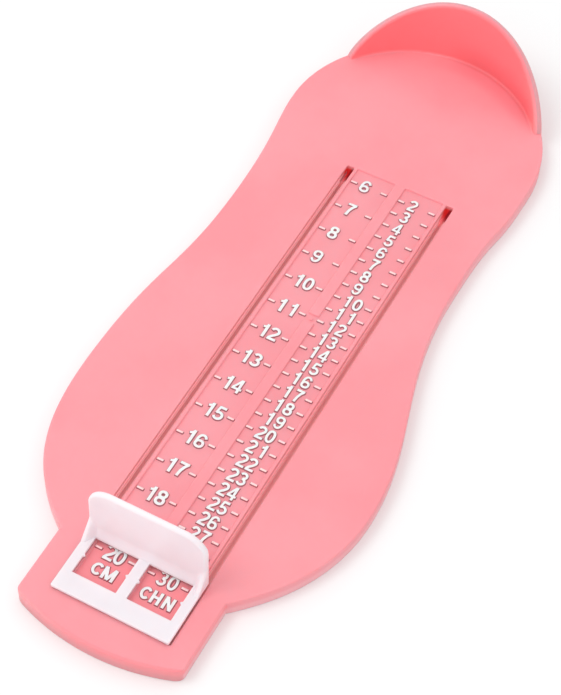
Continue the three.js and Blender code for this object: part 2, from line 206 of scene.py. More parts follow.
def weld(name, shells, material, creaseAngle=35):
    # one skin round all the bodies, with no walls left inside
    def clean(work):
        bmesh.ops.dissolve_degenerate(work, edges=work.edges, dist=touching)
        openEdges = sum(not edge.is_manifold for edge in work.edges)
        print(name, "has", len(work.faces), "faces and", openEdges, "open edges")

    main = addToScene(name, shells[0].mesh(name))
    parts = bpy.data.collections.new(name + "Parts")
    for shell in shells[1:]:
        parts.objects.link(bpy.data.objects.new(name + "Part", shell.mesh(name + "Part")))
    union = main.modifiers.new("weld", "BOOLEAN")
    union.operation, union.operand_type, union.solver = "UNION", "COLLECTION", "MANIFOLD"
    union.collection = parts
    welded = main.evaluated_get(bpy.context.evaluated_depsgraph_get())
    main.data = bpy.data.meshes.new_from_object(welded)
    main.modifiers.clear()
    for part in list(parts.objects):
        bpy.data.objects.remove(part)
    bpy.data.collections.remove(parts)
    editMesh(main.data, clean)
    return smoothPiece(main, material, creaseAngle)


# Nodes

def addNode(tree, kind, settings, sockets):
    # each socket gets a value, or a link where it is given another socket
    made = tree.nodes.new(kind)
    for key, value in settings.items():
        setattr(made, key, value)
    for key, value in sockets.items():
        if isinstance(value, bpy.types.NodeSocket):
            tree.links.new(value, made.inputs[key])
        else:
            made.inputs[key].default_value = value
    return made.outputs


class Wire:
    # a socket that shader maths can be written with

    def __init__(self, finish, socket):
        self.finish, self.socket = finish, socket

    def __add__(self, other):
        return self.finish.maths("ADD", self, other)

    def __sub__(self, other):
        return self.finish.maths("SUBTRACT", self, other)

    def __rsub__(self, other):
        return self.finish.maths("SUBTRACT", other, self)

    def __mul__(self, other):
        return self.finish.maths("MULTIPLY", self, other)

    def over(self, limits):
        # 0 below the first limit, 1 above the second and smooth between them
        spread = {"Value": self, "From Min": limits[0], "From Max": limits[1]}
        return self.finish.node("ShaderNodeMapRange", {"interpolation_type": "SMOOTHSTEP"}, spread)

    def under(self, limits):
        return 1 - self.over(limits)


class Finish:
    # one material and the nodes that make it

    def __init__(self, name):
        self.material = bpy.data.materials.new(name)
        self.material.use_nodes = True
        self.tree = self.material.node_tree
        self.tree.nodes.clear()

    def node(self, kind, settings, sockets, output=0):
        given = {key: getattr(value, "socket", value) for key, value in sockets.items()}
        return Wire(self, addNode(self.tree, kind, settings, given)[output])

    def maths(self, operation, *values):
        return self.node("ShaderNodeMath", {"operation": operation}, dict(enumerate(values)))

    def place(self):
        return self.node("ShaderNodeTexCoord", {}, {}, "Object")

    def axis(self, name):
        # x, y or z in millimetres of the frame, on the piece at rest
        return self.node("ShaderNodeSeparateXYZ", {}, {0: self.place()}, name) * (1 / millimetre)

    def distance(self, across, along):
        flat = self.node("ShaderNodeCombineXYZ", {}, {0: across, 1: along})
        return self.node("ShaderNodeVectorMath", {"operation": "LENGTH"}, {0: flat}, "Value")

    def noise(self, size, detail=3.0, roughness=0.5):
        sockets = {"Vector": self.place(), "Scale": 1 / (size * millimetre)}
        return self.node("ShaderNodeTexNoise", {}, {**sockets, "Detail": detail, "Roughness": roughness})

    def blend(self, factor, first, second, kind="MIX"):
        settings = {"data_type": "RGBA", "blend_type": kind}
        return self.node("ShaderNodeMix", settings, {0: factor, 6: first, 7: second}, 2)

    def surface(self, sockets):
        return self.show(self.node("ShaderNodeBsdfPrincipled", {}, sockets))

    def show(self, shader):
        output = self.tree.nodes.new("ShaderNodeOutputMaterial")
        self.tree.links.new(shader.socket, output.inputs["Surface"])
        return self.material


def tint(red, green, blue):
    # a colour as a screen shows it, from 0 to 255
    def linear(value):
        share = value / 255
        return share / 12.92 if share <= 0.04045 else ((share + 0.055) / 1.055) ** 2.4
    return (linear(red), linear(green), linear(blue), 1.0)


# Plastics

black = (0.0, 0.0, 0.0, 1.0)
moulded = {
    "grainSize": 0.35, "grainRoughness": 0.6, "grainStrength": 0.25, "patchEdges": (0.35, 0.65),
    "glossShare": 0.25, "glossDetail": 4.0, "scatterReach": 3.0, "refraction": 1.5,
}
pinkAbs = {
    "plain": tint(251, 157, 165), "deep": tint(248, 150, 158), "patchSize": 38.0, "grainHeight": 0.004,
    "gloss": (0.38, 0.50), "scatter": 0.35, "scatterTint": (1.0, 0.28, 0.22),
}
whiteAbs = {
    "plain": tint(246, 236, 241), "deep": tint(242, 231, 236), "patchSize": 16.0, "grainHeight": 0.003,
    "gloss": (0.34, 0.44), "scatter": 0.4, "scatterTint": (1.0, 0.75, 0.7),
}


def plasticSockets(finish, plastic):
    grain = {
        "Height": finish.noise(moulded["grainSize"], roughness=moulded["grainRoughness"]),
        "Strength": moulded["grainStrength"],
        "Distance": plastic["grainHeight"] * millimetre,
    }
    patches = finish.noise(plastic["patchSize"]).over(moulded["patchEdges"])
    smooth, rough = plastic["gloss"]
    gloss = finish.noise(plastic["patchSize"] * moulded["glossShare"], moulded["glossDetail"])
    return {
        "Base Color": finish.blend(patches, plastic["plain"], plastic["deep"]),
        "Roughness": gloss * (rough - smooth) + smooth,
        "Normal": finish.node("ShaderNodeBump", {}, grain),
        "Subsurface Weight": plastic["scatter"],
        "Subsurface Radius": plastic["scatterTint"],
        "Subsurface Scale": moulded["scatterReach"] * millimetre,
        "IOR": moulded["refraction"],
        "Emission Strength": 1.0,
    }


# Measuring board

board = {
    "top": 5.0, "plateUnderside": 3.0, "skirt": 1.8, "edgeRadius": 0.5, "footRadius": 0.25,
    "roundSteps": 6, "curveSteps": 40, "heelSteps": 24,
}
heel = {"centre": Vector((-5.65, -36.3)), "radius": 38.7}
sides = {
    -1: {
        "waist": Vector((-40.6, -83.6)), "forefoot": Vector((-46.1, -148.0)), "tabRoot": -199.6,
        "pulls": (13.0, 29.0, 32.5, 27.0), "rootPull": Vector((-16.5, 11.3)),
    },
    1: {
        "waist": Vector((30.05, -83.9)), "forefoot": Vector((42.85, -157.4)), "tabRoot": -198.9,
        "pulls": (27.0, 33.0, 26.5, 19.3), "rootPull": Vector((10.1, 9.4)),
    },
}
tab = {
    "centre": -0.4, "halfWidth": 23.5, "cornerReach": 1.6, "cornerInset": 2.2, "end": -224.8, "radius": 62.0,
    "steps": 12,
}
fields = {
    "inner": 1.6, "outer": 13.7, "start": -55.1, "end": -213.5, "floor": 4.4, "gapStart": -108.9,
    "gapEnd": -111.6, "cornerRadius": 0.35, "rimRadius": 0.3, "rootRadius": 0.28, "rimSteps": 3,
}
slots = {
    "inner": 14.7, "outer": 17.0, "start": -55.2, "end": -215.2, "rimRadius": 0.25, "cornerRadius": 0.4,
    "ledge": 0.45, "ledgeHeight": 4.4, "entryEnd": -60.8, "leastLedge": 0.03, "stepRadius": 0.12,
    "rimSteps": 4, "cornerSteps": 3,
}


def heelPoint(angle, radius):
    # angle 0 is straight back, positive to the right
    return heel["centre"] + Vector((math.sin(angle), math.cos(angle))) * radius


def bend(start, startPull, end, endPull, steps):
    curve = interpolate_bezier(start, start + startPull, end + endPull, end, steps + 1)
    return [point.to_2d() for point in curve[:-1]]


def sideLine(sign):
    side = sides[sign]
    heelPull, waistPull, forefootPull, toePull = [Vector((0, -pull)) for pull in side["pulls"]]
    start = heel["centre"] + Vector((sign * heel["radius"], 0))
    root = Vector((tab["centre"] + sign * tab["halfWidth"], side["tabRoot"]))
    steps = board["curveSteps"]
    line = bend(start, heelPull, side["waist"], -waistPull, steps)
    line += bend(side["waist"], waistPull, side["forefoot"], -forefootPull, steps)
    line += bend(side["forefoot"], toePull, root, side["rootPull"], steps)
    return line + [root]


def tabHalf(sign):
    def arc(x):
        return Vector((x, tab["end"] + tab["radius"] - math.sqrt(tab["radius"] ** 2 - x ** 2)))

    shares = [step / tab["steps"] for step in range(tab["steps"] + 1)]
    edge = sign * tab["halfWidth"]
    turn = edge - sign * tab["cornerInset"]
    side, corner, front = arc(edge) + Vector((0, tab["cornerReach"])), arc(edge), arc(turn)
    points = [
        side * (1 - share) ** 2 + corner * 2 * share * (1 - share) + front * share ** 2 for share in shares
    ]
    points += [arc(turn * (1 - share)) for share in shares[1:-1]]
    return [point + Vector((tab["centre"], 0)) for point in points]


heelCup = {
    "height": 21.0, "halfWidth": 32.6, "middle": 0.4, "power": 1.32, "wall": 2.4, "stations": 72,
    "rootFillet": 0.8, "leastFillet": 0.05, "filletShare": 0.6, "filletSteps": 8, "rimSteps": 14,
    "footDrop": 0.05, "footInset": 0.3,
}


def cupStations():
    # places round the heel, from right to left, and the height of the arch over the board at each
    stations = []
    for step in range(heelCup["stations"] + 1):
        turn = quarter * (1 - 2 * step / heelCup["stations"])
        angle = math.asin((heelCup["middle"] + heelCup["halfWidth"] * math.sin(turn)) / heel["radius"])
        stations.append((angle, heelCup["height"] * max(math.cos(turn), 0.0) ** heelCup["power"]))
    return stations


def boardOutline():
    steps = board["heelSteps"]
    angles = [angle for angle, height in cupStations()]
    lead = [quarter + (angles[0] - quarter) * step / steps for step in range(steps)]
    trail = [angles[-1] + (-quarter - angles[-1]) * step / steps for step in range(steps)]
    arc = [heelPoint(angle, heel["radius"]) for angle in lead + angles[:-1] + trail]
    middle = [Vector((tab["centre"], tab["end"]))]
    back = sideLine(1)[::-1][:-1]
    return arc + sideLine(-1) + tabHalf(-1) + middle + tabHalf(1)[::-1] + back


def roundedRim(shell, outline, fromHeight, toHeight, radius, direction, steps):
    # rings of an upright wall with a rounded upper edge, which leans into the outline where direction is 1
    rings = [shell.ring(outline, fromHeight)]
    for step in range(steps + 1):
        turn = quarter * step / steps
        moved = offsetRing(outline, direction * radius * (1 - math.cos(turn))) if step else outline
        rings.append(shell.ring(moved, toHeight - radius * (1 - math.sin(turn))))
    shell.bands(rings)
    return rings


def fieldOutline():
    inner, outer, gapStart, gapEnd = fields["inner"], fields["outer"], fields["gapStart"], fields["gapEnd"]
    right = [
        (inner, gapEnd), (inner, fields["end"]), (outer, fields["end"]),
        (outer, fields["start"]), (inner, fields["start"]), (inner, gapStart),
    ]
    return roundCorners(right + mirrored(right), fields["cornerRadius"])


def addSlot(shell, left, right):
    # a groove with a narrower slot in its floor, except at the heel end, where the legs are let in
    least, ledge, entry = slots["leastLedge"], slots["ledge"], slots["entryEnd"]
    low, high = slots["end"] + least, slots["start"] - least
    groove = roundCorners(rectangle(left, right, slots["end"], slots["start"]), slots["cornerRadius"])
    rimRadius, ledgeHeight = slots["rimRadius"], slots["ledgeHeight"]
    walls = roundedRim(shell, groove, ledgeHeight, board["top"], rimRadius, -1, slots["rimSteps"])
    corners = [
        (left + ledge, low), (right - ledge, low), (right - ledge, entry), (right - least, entry),
        (right - least, high), (left + least, high), (left + least, entry), (left + ledge, entry),
    ]
    step, end = slots["stepRadius"], slots["cornerRadius"] - least
    narrow = roundCorners(corners, [step, step, step, step, end, end, step, step], slots["cornerSteps"])
    brim, foot = shell.ring(narrow, ledgeHeight), shell.ring(narrow, board["plateUnderside"])
    shell.bands([foot, brim])
    shell.flat(walls[0], [brim])
    return foot, walls[-1]


def buildPlate(outline):
    shell = Shell()
    foot = board["footRadius"]
    inner = insideLine(outline, board["skirt"])
    underside = shell.ring(inner, board["plateUnderside"])
    innerFoot = shell.ring(inner, 0)
    outerFoot = shell.ring(offsetRing(outline, foot), 0)
    shell.bands([underside, innerFoot])
    shell.flat(outerFoot, [innerFoot])
    side = roundedRim(shell, outline, foot, board["top"], board["edgeRadius"], 1, board["roundSteps"])
    shell.bands([outerFoot, shell.ring(offsetRing(outline, foot * bevelShare), foot * bevelShare), side[0]])
    openings = [addSlot(shell, *sorted((sign * slots["inner"], sign * slots["outer"]))) for sign in (-1, 1)]
    field = fieldOutline()
    floor, root = fields["floor"], fields["rootRadius"]
    floorRings = [
        shell.ring(offsetRing(field, root), floor),
        shell.ring(offsetRing(field, root * bevelShare), floor + root * bevelShare),
    ]
    walls = roundedRim(shell, field, floor + root, board["top"], fields["rimRadius"], -1, fields["rimSteps"])
    shell.bands([*floorRings, walls[0]])
    shell.flat(floorRings[0])
    shell.flat(underside, [opening[0] for opening in openings])
    shell.flat(side[-1], [walls[-1], *[opening[1] for opening in openings]])
    return shell


def cupSection(height):
    # depth inwards from the outer face, and height over the rest, from the inner foot over the rim
    wall, top = heelCup["wall"], board["top"]
    rimRadius = wall / 2
    rim = top + height - rimRadius
    room = heelCup["filletShare"] * (height - rimRadius)
    fillet = min(max(room, heelCup["leastFillet"]), heelCup["rootFillet"])
    foot = min(top, rim - fillet - heelCup["leastFillet"])
    base = board["plateUnderside"] + overlap
    section = [(rimRadius, base), (wall + fillet, base)]
    for step in range(heelCup["filletSteps"] + 1):
        turn = quarter * step / heelCup["filletSteps"]
        section.append((wall + fillet * (1 - math.sin(turn)), foot + fillet * (1 - math.cos(turn))))
    for step in range(heelCup["rimSteps"] + 1):
        turn = math.pi * step / heelCup["rimSteps"]
        section.append((rimRadius * (1 + math.cos(turn)), rim + rimRadius * math.sin(turn)))
    outerFoot = min(rim, top - board["edgeRadius"]) - heelCup["footDrop"]
    return section + [(0.0, outerFoot), (heelCup["footInset"], base)]


def buildHeelCup():
    shell = Shell()
    rings = []
    for angle, height in cupStations():
        points = []
        for depth, up in cupSection(height):
            points.append(heelPoint(angle, heel["radius"] - depth).to_3d() + Vector((0, 0, up)))
        rings.append(shell.row(points))
    shell.loft(rings)
    return shell


ribs = {"thickness": 1.2, "bottom": 0.8, "pitch": 26.0, "endInset": 1.0}
channel = {"outer": 18.4, "floor": 1.2, "bottom": 0.4, "lap": 0.3}


def spanAcross(outline, y):
    # the lowest and the highest x of the outline at this y
    found = []
    for index, point in enumerate(outline):
        before = outline[index - 1]
        if (before.y - y) * (point.y - y) < 0:
            found.append(before.x + (point.x - before.x) * (y - before.y) / (point.y - before.y))
    return min(found), max(found)


def channelShells():
    # closed troughs under the slots, which the snap feet run in
    shells = []
    thick, lap = ribs["thickness"], channel["lap"]
    inner, outer = slots["inner"] - thick, channel["outer"] + thick
    start, end = slots["start"] + thick, slots["end"] - thick
    bottom, high = channel["bottom"], board["plateUnderside"] + overlap
    for sign in (-1, 1):
        for near, far in ((inner, slots["inner"]), (channel["outer"], outer)):
            shells.append(boxShell(*sorted((sign * near, sign * far)), end, start, bottom, high))
        across = sorted((sign * (inner + lap), sign * (outer - lap)))
        shells.append(boxShell(*across, end + lap, start - lap, bottom, channel["floor"]))
        shells.append(boxShell(*across, end, end + thick, bottom, high))
        shells.append(boxShell(*across, start - thick, start, bottom, high))
    return shells


def ribShells(outline):
    thick, inset = ribs["thickness"], ribs["endInset"]
    low, high = ribs["bottom"], board["plateUnderside"] + overlap
    middle = offsetRing(outline, board["skirt"] / 2)
    start, end = slots["start"] + thick, slots["end"] - thick
    outer, inner = channel["outer"] + thick - overlap, slots["inner"] - thick + overlap
    back = heel["centre"].y + heel["radius"] - inset
    shells = [boxShell(-thick / 2, thick / 2, tab["end"] + inset, back, low, high)]

    def across(top, *gaps):
        # a rib from skirt to skirt, but for the gaps
        spans = [spanAcross(middle, y) for y in (top, top - thick)]
        places = [max(span[0] for span in spans), *gaps, min(span[1] for span in spans)]
        for left, right in zip(places[::2], places[1::2]):
            shells.append(boxShell(left, right, top - thick, top, low, high))

    across(start + thick)
    across(end)
    top = start - ribs["pitch"]
    while top > end + ribs["pitch"] / 2:
        across(top, -outer, -inner, inner, outer)
        top -= ribs["pitch"]
    return shells


gateNub = {"radius": 0.55, "topRadius": 0.4, "height": 0.3, "bevel": 0.15, "root": 0.2, "steps": 20}


def buildGateNub():
    shell = Shell()
    centre = Vector((0, (fields["gapStart"] + fields["gapEnd"]) / 2))
    turns = [2 * math.pi * step / gateNub["steps"] for step in range(gateNub["steps"])]
    circle = [Vector((math.cos(turn), math.sin(turn))) for turn in turns]
    radius, floor = gateNub["radius"], fields["floor"]
    top = floor + gateNub["height"]
    levels = ((radius, floor - gateNub["root"]), (radius, top - gateNub["bevel"]), (gateNub["topRadius"], top))
    shell.loft([shell.ring([centre + point * reach for point in circle], height) for reach, height in levels])
    return shell


# The board's painted light and shade, with a painted glow for light that comes through the thin plastic.
# Places are in millimetres of the frame, and a pair of numbers is where a change starts and where it is
# complete.

# painted light in the slots: shade and the deep, dim and open glows are a painted glow, the left and right
# shades are painted shade
slotGlow = {
    "centre": 1.625, "innerSide": (14.55, 14.65), "outerSide": (17.05, 17.15), "floor": (0.9, 1.0),
    "toeEnd": (-105.2, -105.1), "heelEnd": (56.0, 56.1),
    "middle": 15.85, "top": 5.0, "lean": 0.337, "leanAhead": 0.676, "below": (4.88, 4.98),
    "leftEdge": (-1.0, -0.72), "leftShade": (0.85, 0.89, 0.84, 1.0),
    "rightSide": (0.25, 0.5), "rightShade": (0.85, 0.86, 0.83, 1.0),
    "height": (3.6, 4.6), "shade": (0.18, 0.165, 0.155, 1.0),
    "deep": (2.6, 3.2), "deepPaintedGlow": (0.14, 0.09, 0.09, 1.0),
    "dimming": (36.0, 50.0), "dimPaintedGlow": (0.09, 0.05, 0.05, 1.0),
    "open": (47.5, 49.5), "openGlow": (0.36, 0.08, 0.085, 1.0), "openDarkGlow": (0.22, 0.04, 0.04, 1.0),
}
# painted light at the heel end of the slots: a painted deep red shade and a painted red glow, darker on the
# right side
entryGlow = {
    "along": (49.6, 53.4), "top": (4.35, 4.8), "left": (-1.05, -0.8), "dark": (0.3, 0.8),
    "endWall": (55.6, 55.9), "endHeight": (3.2, 4.9),
    "shade": tint(150, 24, 22), "darkShade": tint(110, 24, 28),
    "glow": (0.40, 0.012, 0.012, 1.0), "darkGlow": (0.18, 0.005, 0.009, 1.0),
}
# painted light and shade in and round the heel cup
cupGlow = {
    "centre": (-4.025, 74.9), "inside": (36.4, 36.95), "height": (5.0, 5.3),
    "shade": tint(255, 132, 138), "glow": (0.05, 0.0, 0.0, 1.0),
    "rimFrom": (37.05, 37.35), "rimTo": (38.5, 38.65), "rimShade": tint(222, 157, 163),
    "floorX": (-14.0, 2.0), "floorY": (94.0, 102.0),
    "floorFrom": (29.0, 33.5), "floorShade": tint(246, 141, 150),
    "rootFrom": (34.6, 36.0), "rootHeight": (5.0, 15.0), "rootShade": tint(236, 116, 123),
    "endX": (14.0, 27.0), "endPaintedLight": tint(250, 150, 152),
}
# painted shade on the front wall of the tab, darker low down and lighter on its left
tabFrontShade = {
    "centre": (1.225, -51.6), "edge": (60.9, 61.5), "from": (-92.0, -88.0), "height": (1.2, 4.0),
    "lowShade": tint(232, 146, 152), "highShade": tint(250, 143, 150),
    "fullX": (-22.0, 2.0), "leftShade": tint(248, 156, 162),
}
# painted reflection of the pale floor, low on the side walls
lowWallReflection = {"height": (1.7, 3.4), "until": (60.0, 92.0), "shade": tint(255, 176, 183)}
# painted shade and a faint painted red glow on the floor round the unit labels, under the toe stop
labelShadeAndGlow = {
    "height": (4.42, 4.46), "from": (-88.0, -87.0),
    "shade": tint(253, 144, 151), "glow": (0.03, 0.0, 0.0, 1.0),
}


def cupShading(finish, x, y, z, base):
    # painted shade: deeper pink inside the cup, on the floor before it and at its root, with a painted glow in
    # the cup, a paler painted light at its right end and a greyer painted shade line along its rim
    radius = finish.distance(x - cupGlow["centre"][0], y - cupGlow["centre"][1])
    aboveBoard, inside = z.over(cupGlow["height"]), radius.under(cupGlow["inside"])
    inCup = aboveBoard * inside
    onRim = aboveBoard * radius.over(cupGlow["rimFrom"]) * radius.under(cupGlow["rimTo"])
    inCorner = x.over(cupGlow["floorX"]) * y.over(cupGlow["floorY"])
    atRoot = inCorner * radius.over(cupGlow["rootFrom"]) * z.under(cupGlow["rootHeight"]) * inside
    wall = finish.blend(x.over(cupGlow["endX"]), cupGlow["shade"], cupGlow["endPaintedLight"])
    base = finish.blend(inCorner * radius.over(cupGlow["floorFrom"]), base, cupGlow["floorShade"])
    base = finish.blend(inCup, finish.blend(onRim, base, cupGlow["rimShade"]), wall)
    return finish.blend(atRoot, base, cupGlow["rootShade"]), finish.blend(inCup, black, cupGlow["glow"])


def wallShading(finish, x, y, z, outside, base, light):
    # painted light and shade: paler low on the side walls as a painted reflection of the floor, deeper with a
    # faint painted glow round the unit labels, and painted shade on the front of the tab
    low = outside * z.under(lowWallReflection["height"]) * y.under(lowWallReflection["until"])
    inLabels = outside * z.under(labelShadeAndGlow["height"]) * y.under(labelShadeAndGlow["from"])
    radius = finish.distance(x - tabFrontShade["centre"][0], y - tabFrontShade["centre"][1])
    onFront = radius.over(tabFrontShade["edge"]) * y.under(tabFrontShade["from"])
    upper = finish.blend(x.over(tabFrontShade["fullX"]), tabFrontShade["leftShade"], tabFrontShade["highShade"])
    front = finish.blend(z.over(tabFrontShade["height"]), tabFrontShade["lowShade"], upper)
    base = finish.blend(low, finish.blend(inLabels, base, labelShadeAndGlow["shade"]), lowWallReflection["shade"])
    light = finish.blend(inLabels * (1 - low) * (1 - onFront), light, labelShadeAndGlow["glow"])
    return finish.blend(onFront, base, front), light


def slotMask(finish, x, y, z):
    # 1 in both slots and 0 elsewhere
    across = finish.maths("ABSOLUTE", x - slotGlow["centre"])
    between = across.over(slotGlow["innerSide"]) * across.under(slotGlow["outerSide"])
    return between * z.over(slotGlow["floor"]) * y.over(slotGlow["toeEnd"]) * y.under(slotGlow["heelEnd"])


def slotShading(finish, x, y, z, inSlot, base, light):
    # side and ahead are where the look from the photograph's camera crosses the board's top: side is -1.15 at
    # the left edge of the slot and 1.15 at its right edge
    beside, depth = x - slotGlow["centre"], slotGlow["top"] - z
    side = beside - finish.maths("SIGN", beside) * slotGlow["middle"] + depth * slotGlow["lean"]
    ahead = y - depth * slotGlow["leanAhead"]
    dark = side.over(entryGlow["dark"])
    entered = (ahead + side).over(entryGlow["along"])
    endWall = y.over(entryGlow["endWall"]) * z.over(entryGlow["endHeight"])
    inEntry = inSlot * entered * (1 - endWall) * z.under(entryGlow["top"]) * side.over(entryGlow["left"])
    below = inSlot * z.under(slotGlow["below"]) * (1 - entered)
    onRight = below * side.over(slotGlow["rightSide"])
    # painted shade on the right side and at the left edge of each slot
    base = finish.blend(onRight, base, slotGlow["rightShade"], "MULTIPLY")
    base = finish.blend(below * side.under(slotGlow["leftEdge"]), base, slotGlow["leftShade"], "MULTIPLY")
    # painted deep red shade at the heel end of each slot
    base = finish.blend(inEntry, base, finish.blend(dark, entryGlow["shade"], entryGlow["darkShade"]))
    # painted glow on the walls and deep in the troughs, dimmer towards the heel and brighter where the troughs
    # open
    deepGlow = finish.blend(y.over(slotGlow["dimming"]), slotGlow["deepPaintedGlow"], slotGlow["dimPaintedGlow"])
    openGlow = finish.blend(dark, slotGlow["openGlow"], slotGlow["openDarkGlow"])
    deepGlow = finish.blend(ahead.over(slotGlow["open"]), deepGlow, openGlow)
    glow = finish.blend(z.under(slotGlow["deep"]), slotGlow["shade"], deepGlow)
    glow = finish.blend(onRight, glow, slotGlow["rightShade"], "MULTIPLY")
    # painted red glow at the heel end of each slot
    glow = finish.blend(inEntry, glow, finish.blend(dark, entryGlow["glow"], entryGlow["darkGlow"]))
    glowing = finish.maths("MAXIMUM", inSlot * z.under(slotGlow["height"]), inEntry)
    return base, finish.blend(glowing, light, glow)


def boardPlastic():
    # pink plastic carrying the painted shade and painted glow of the functions above
    finish = Finish("pinkMoulding")
    sockets = plasticSockets(finish, pinkAbs)
    place = [finish.axis(name) for name in "XYZ"]
    inSlot = slotMask(finish, *place)
    base, light = cupShading(finish, *place, sockets["Base Color"])
    base, light = wallShading(finish, *place, 1 - inSlot, base, light)
    sockets["Base Color"], sockets["Emission Color"] = slotShading(finish, *place, inSlot, base, light)
    return finish.surface(sockets)


def buildBoard():
    outline = boardOutline()
    shells = [buildPlate(outline), buildHeelCup(), buildGateNub(), *ribShells(outline), *channelShells()]
    return weld("measuringBoard", shells, boardPlastic())


measuringBoard = buildBoard()
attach(measuringBoard, "board")
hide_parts("base")
print("measuring board is moulded")


# Raised numerals, unit labels and ticks

raised = {
    "root": 4.3, "shoulder": 4.74, "top": 4.8, "topInset": 0.06, "draft": 0.25, "counterDraft": 0.5,
    "mostStretch": 1.5, "strokeWidth": 0.175, "strokeWeight": 0.98, "loopSteps": 26, "squareness": 2.25,
    "creaseAngle": 50,
}
foil = {
    "paintedWallShade": tint(172, 96, 103), "height": (4.70, 4.76), "waver": 0.04, "waverSize": 0.275,
    "patchSize": 1.1, "thin": (0.5, 0.8),
}
signFoil = {"shade": tint(255, 245, 244), "wornShade": tint(255, 230, 230), "glow": black}
# ticks: pinker foil with a faint painted red glow
tickFoil = {"shade": tint(255, 220, 220), "wornShade": tint(255, 202, 204), "glow": (0.12, 0.0, 0.0, 1.0)}


def foiledPlastic(name, shades):
    # pink moulding whose raised tops carry white hot foil, a little thin in places, with painted shade on the
    # raised sides and, on the ticks, a faint painted red glow on the foil
    finish = Finish(name)
    sockets = plasticSockets(finish, pinkAbs)
    wander = (finish.noise(foil["waverSize"]) - 0.5) * foil["waver"]
    onTop = (finish.axis("Z") + wander).over(foil["height"])
    thin = finish.noise(foil["patchSize"]).over(foil["thin"])
    white = finish.blend(thin, shades["shade"], shades["wornShade"])
    # painted shade on the raised sides below the foil
    sockets["Base Color"] = finish.blend(onTop, foil["paintedWallShade"], white)
    # painted glow on the foil tops
    sockets["Emission Color"] = finish.blend(onTop, black, shades["glow"])
    return finish.surface(sockets)


def ellipse(centreX, centreY, radiusX, radiusY, fromDegrees, toDegrees, steps, squareness=2.0):
    points = []
    for step in range(steps + 1):
        turn = math.radians(fromDegrees + (toDegrees - fromDegrees) * step / steps)
        across, up = math.cos(turn), math.sin(turn)
        points.append((
            centreX + radiusX * math.copysign(abs(across) ** (2 / squareness), across),
            centreY + radiusY * math.copysign(abs(up) ** (2 / squareness), up),
        ))
    return points


# Each sign is a list of strokes along their middle lines, in a cell that is 1 high: an open stroke has butt
# ends, a closed one is a loop, and each has its own width.
def loopStroke(*sizes, width=raised["strokeWidth"]):
    line = ellipse(*sizes, 0, 360, raised["loopSteps"], raised["squareness"])[:-1]
    return {"line": line, "closed": True, "width": width}


def openStroke(line, width=raised["strokeWidth"]):
    return {"line": line, "closed": False, "width": width}


def stem(x, width):
    return openStroke([(x, 0.0), (x, 1.0)], width)


digitWidth = 0.63
cellWidths = {"C": 0.80, "H": 0.76, "M": 0.94, "N": 0.76}
sixStrokes = [
    loopStroke(0.315, 0.30, 0.2275, 0.2125, width=0.16),
    openStroke(ellipse(0.335, 0.50, 0.2475, 0.4125, 205, 30, 16, 2.2), 0.16),
]
signs = {
    "0": [loopStroke(0.315, 0.50, 0.2275, 0.4125)],
    "1": [stem(0.385, 0.19), openStroke([(0.135, 0.735), (0.26, 0.78), (0.345, 0.86), (0.385, 0.98)], 0.15)],
    "2": [
        openStroke([
            *ellipse(0.315, 0.70, 0.225, 0.2125, 168, -28, 14), (0.37, 0.42), (0.20, 0.27), (0.125, 0.14),
        ]),
        openStroke([(0.035, 0.085), (0.60, 0.085)], 0.17),
        openStroke([(0.10, 0.17), (0.15, 0.17)], 0.10),
    ],
    "3": [
        openStroke(ellipse(0.30, 0.72, 0.205, 0.1925, 158, -88, 14), 0.17),
        openStroke(ellipse(0.305, 0.295, 0.2325, 0.2075, 96, -160, 16), 0.17),
    ],
    "4": [
        stem(0.435, 0.17),
        openStroke([(0.0, 0.30), (0.62, 0.30)], 0.15),
        openStroke([(0.40, 0.955), (0.065, 0.315)], 0.15),
    ],
    "5": [
        openStroke([(0.575, 0.915), (0.165, 0.915)], 0.17),
        openStroke([(0.19, 0.97), (0.125, 0.46)], 0.15),
        openStroke([(0.12, 0.50)] + ellipse(0.30, 0.325, 0.2375, 0.2375, 125, -158, 16), 0.17),
    ],
    "6": sixStrokes,
    "7": [
        openStroke([(0.03, 0.915), (0.595, 0.915)], 0.17),
        openStroke([(0.535, 0.93), (0.39, 0.70), (0.28, 0.40), (0.235, 0.0)], 0.18),
    ],
    "8": [loopStroke(0.315, 0.725, 0.195, 0.19), loopStroke(0.315, 0.29, 0.2275, 0.205)],
    "9": [{**stroke, "line": [(digitWidth - x, 1 - y) for x, y in stroke["line"]]} for stroke in sixStrokes],
    "C": [openStroke(ellipse(0.415, 0.50, 0.30, 0.395, 40, 320, 24), 0.205)],
    "H": [stem(0.125, 0.23), stem(0.635, 0.23), openStroke([(0.13, 0.52), (0.63, 0.52)], 0.20)],
    "M": [
        stem(0.12, 0.22), stem(0.82, 0.22),
        openStroke([(0.14, 1.0), (0.47, 0.03)], 0.22),
        openStroke([(0.80, 1.0), (0.47, 0.03)], 0.22),
    ],
    "N": [stem(0.12, 0.22), stem(0.64, 0.22), openStroke([(0.13, 0.96), (0.63, 0.04)], 0.23)],
}


def strokeLoops(stroke):
    # the stroke's outer line, and the inner one where it is closed
    line = [Vector(point) for point in stroke["line"]]
    half = stroke["width"] * raised["strokeWeight"] / 2
    if stroke["closed"]:
        return [offsetRing(line, -half), offsetRing(line, half)]
    left, right = [], []
    last = len(line) - 1
    for index, point in enumerate(line):
        # an end has only one side to move, which shifted moves twice as far
        corner = (line[max(index - 1, 0)], point, line[min(index + 1, last)])
        reach = half if 0 < index < last else half / 2
        left.append(shifted(*corner, reach))
        right.append(shifted(*corner, -reach))
    return [left + right[::-1]]


